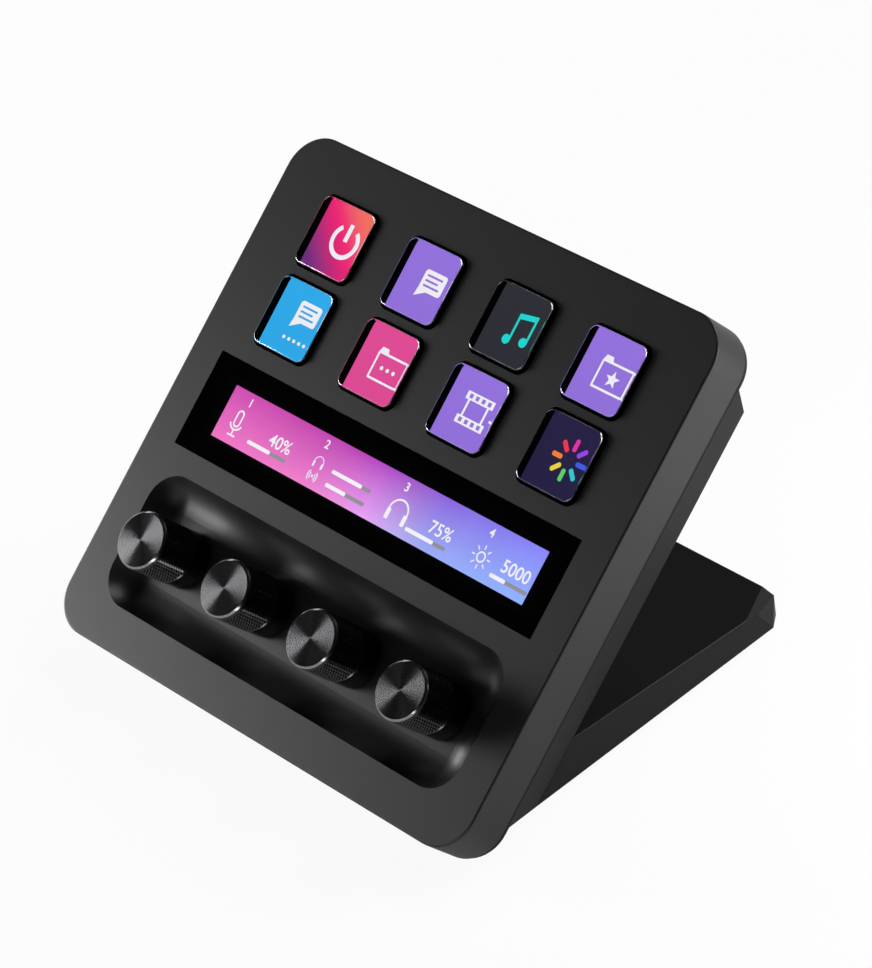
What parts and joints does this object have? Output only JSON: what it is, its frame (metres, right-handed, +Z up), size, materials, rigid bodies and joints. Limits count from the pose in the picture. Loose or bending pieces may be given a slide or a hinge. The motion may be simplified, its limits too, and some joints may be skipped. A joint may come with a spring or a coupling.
{
  "type": "macro keypad",
  "caption": "Tilted desk control pad with square clear-topped display keys, a touch strip and push dials in a trough, on a weighted wedge stand with a rear data socket",
  "frame": {"origin": "on the desk, under the middle of the object's bounding box", "axes": "+X is the user's right, +Y points away from the user, +Z is up; the panel faces up and towards -Y"},
  "size_m": [0.14, 0.1136, 0.096],
  "materials": {
    "shell_paint": "matt dark grey painted moulding",
    "stand_paint": "matt dark grey painted moulding",
    "key_clear": "clear polished key cap with black sides",
    "panel_glass": "flush dark cover glass",
    "display": "lit display panel",
    "dial_grip": "dark anodised, diamond knurled",
    "dial_face": "spun face with a bright chamfer",
    "steel": "plain steel",
    "screw_steel": "zinc-plated screw steel",
    "board_green": "glass-fibre circuit board",
    "chip_black": "moulded chip packages",
    "inner_plastic": "black inner moulding",
    "silicone": "thin black silicone",
    "pad_rubber": "matt non-slip pad",
    "ribbon": "flat flexible cable"
  },
  "bodies": {
    "housing": {"front_bezel": "shell_paint", "rear_housing": "shell_paint", "key_guide_frame": "inner_plastic", "key_switch_mat": "silicone", "key_display": "display", "strip_glass": "panel_glass", "strip_gasket": "silicone", "strip_display": "display", "display_carrier": "inner_plastic", "encoder_board": "board_green", "main_board": "board_green", "data_socket": "steel", "strip_ribbon": "ribbon", "key_ribbon": "ribbon", "encoder_ribbon": "ribbon", "stand_shell": "stand_paint", "stand_base_plate": "stand_paint", "stand_ballast": "steel", "carrier_screws": "screw_steel", "board_chips": "chip_black", "board_screws": "screw_steel", "housing_screws": "screw_steel", "stand_screws": "screw_steel", "base_screws": "screw_steel", "stand_pads": "pad_rubber", "encoder_1_body": "inner_plastic", "encoder_2_body": "inner_plastic", "encoder_3_body": "inner_plastic", "encoder_4_body": "inner_plastic"},
    "key_1": {"key_cap_1": "key_clear"},
    "key_2": {"key_cap_2": "key_clear"},
    "key_3": {"key_cap_3": "key_clear"},
    "key_4": {"key_cap_4": "key_clear"},
    "key_5": {"key_cap_5": "key_clear"},
    "key_6": {"key_cap_6": "key_clear"},
    "key_7": {"key_cap_7": "key_clear"},
    "key_8": {"key_cap_8": "key_clear"},
    "dial_1_stem": {"encoder_1_tappet": "inner_plastic"},
    "dial_1": {"dial_1_knob": "dial_grip", "dial_1_face": "dial_face", "dial_1_shaft": "steel"},
    "dial_2_stem": {"encoder_2_tappet": "inner_plastic"},
    "dial_2": {"dial_2_knob": "dial_grip", "dial_2_face": "dial_face", "dial_2_shaft": "steel"},
    "dial_3_stem": {"encoder_3_tappet": "inner_plastic"},
    "dial_3": {"dial_3_knob": "dial_grip", "dial_3_face": "dial_face", "dial_3_shaft": "steel"},
    "dial_4_stem": {"encoder_4_tappet": "inner_plastic"},
    "dial_4": {"dial_4_knob": "dial_grip", "dial_4_face": "dial_face", "dial_4_shaft": "steel"}
  },
  "joints": [
    {"name": "key_1_press", "type": "slide", "parent": "housing", "child": "key_1", "axis": [0, 0.6428, -0.766], "range_m": [0, 0.001], "stiffness_N_per_m": 250, "springref_m": -0.001},
    {"name": "key_2_press", "type": "slide", "parent": "housing", "child": "key_2", "axis": [0, 0.6428, -0.766], "range_m": [0, 0.001], "stiffness_N_per_m": 250, "springref_m": -0.001},
    {"name": "key_3_press", "type": "slide", "parent": "housing", "child": "key_3", "axis": [0, 0.6428, -0.766], "range_m": [0, 0.001], "stiffness_N_per_m": 250, "springref_m": -0.001},
    {"name": "key_4_press", "type": "slide", "parent": "housing", "child": "key_4", "axis": [0, 0.6428, -0.766], "range_m": [0, 0.001], "stiffness_N_per_m": 250, "springref_m": -0.001},
    {"name": "key_5_press", "type": "slide", "parent": "housing", "child": "key_5", "axis": [0, 0.6428, -0.766], "range_m": [0, 0.001], "stiffness_N_per_m": 250, "springref_m": -0.001},
    {"name": "key_6_press", "type": "slide", "parent": "housing", "child": "key_6", "axis": [0, 0.6428, -0.766], "range_m": [0, 0.001], "stiffness_N_per_m": 250, "springref_m": -0.001},
    {"name": "key_7_press", "type": "slide", "parent": "housing", "child": "key_7", "axis": [0, 0.6428, -0.766], "range_m": [0, 0.001], "stiffness_N_per_m": 250, "springref_m": -0.001},
    {"name": "key_8_press", "type": "slide", "parent": "housing", "child": "key_8", "axis": [0, 0.6428, -0.766], "range_m": [0, 0.001], "stiffness_N_per_m": 250, "springref_m": -0.001},
    {"name": "dial_1_press", "type": "slide", "parent": "housing", "child": "dial_1_stem", "axis": [0, 0.6428, -0.766], "range_m": [0, 0.0005], "stiffness_N_per_m": 1500, "springref_m": -0.001},
    {"name": "dial_1_turn", "type": "hinge", "parent": "dial_1_stem", "child": "dial_1", "pos_m": [-0.04452, -0.03568, 0.02868], "axis": [0, -0.6428, 0.766], "continuous": true},
    {"name": "dial_2_press", "type": "slide", "parent": "housing", "child": "dial_2_stem", "axis": [0, 0.6428, -0.766], "range_m": [0, 0.0005], "stiffness_N_per_m": 1500, "springref_m": -0.001},
    {"name": "dial_2_turn", "type": "hinge", "parent": "dial_2_stem", "child": "dial_2", "pos_m": [-0.01484, -0.03568, 0.02868], "axis": [0, -0.6428, 0.766], "continuous": true},
    {"name": "dial_3_press", "type": "slide", "parent": "housing", "child": "dial_3_stem", "axis": [0, 0.6428, -0.766], "range_m": [0, 0.0005], "stiffness_N_per_m": 1500, "springref_m": -0.001},
    {"name": "dial_3_turn", "type": "hinge", "parent": "dial_3_stem", "child": "dial_3", "pos_m": [0.01484, -0.03568, 0.02868], "axis": [0, -0.6428, 0.766], "continuous": true},
    {"name": "dial_4_press", "type": "slide", "parent": "housing", "child": "dial_4_stem", "axis": [0, 0.6428, -0.766], "range_m": [0, 0.0005], "stiffness_N_per_m": 1500, "springref_m": -0.001},
    {"name": "dial_4_turn", "type": "hinge", "parent": "dial_4_stem", "child": "dial_4", "pos_m": [0.04452, -0.03568, 0.02868], "axis": [0, -0.6428, 0.766], "continuous": true}
  ]
}
